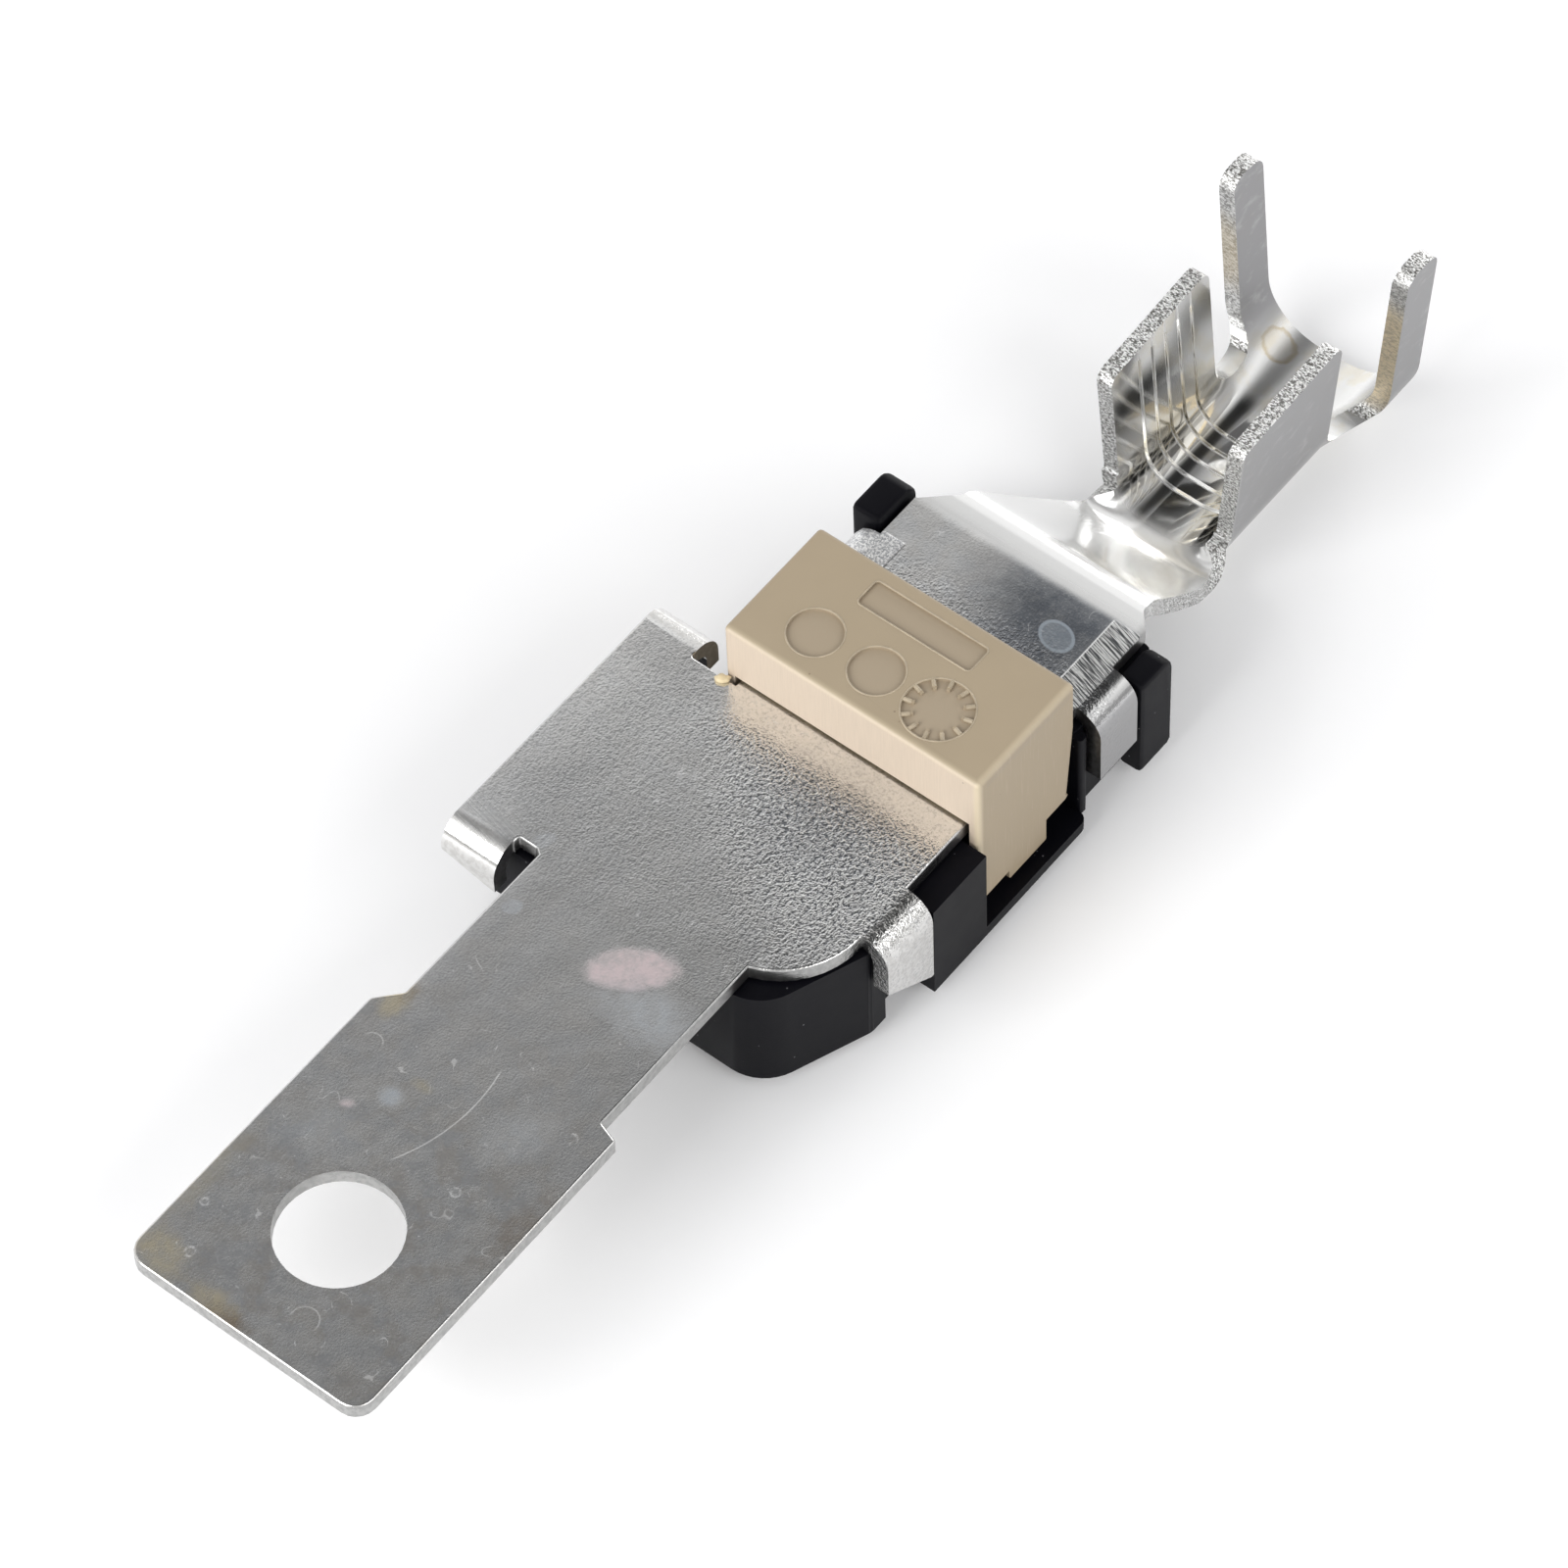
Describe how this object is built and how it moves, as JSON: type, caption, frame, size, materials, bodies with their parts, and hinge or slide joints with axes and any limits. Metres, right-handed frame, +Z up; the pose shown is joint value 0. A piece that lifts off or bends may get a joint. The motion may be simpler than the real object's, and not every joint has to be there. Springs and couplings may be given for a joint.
{
  "type": "battery terminal fuse",
  "caption": "Folded tinned copper strip with a bolt-hole ring end, a covered fuse link in a black moulded carrier, and an open crimp end for a cable.",
  "frame": {"origin": "bottom centre of the bounding box, on the surface the part lies on", "axes": "+X along the strip from the ring end to the cable crimp, +Z up, square to the flat plate, +Y to the side of the wing"},
  "size_m": [0.1076, 0.0286, 0.0185],
  "materials": {
    "tinned_copper": "satin tin plating over a copper stamping, with bright sheared edges and slight yellow tarnish at the crimp",
    "black_moulding": "fine satin black moulded plastic",
    "tan_moulding": "matte tan moulded plastic with slightly lighter edges"
  },
  "bodies": {
    "root": {"terminal_strip": "tinned_copper", "carrier": "black_moulding", "fuse_cover": "tan_moulding"}
  },
  "joints": []
}
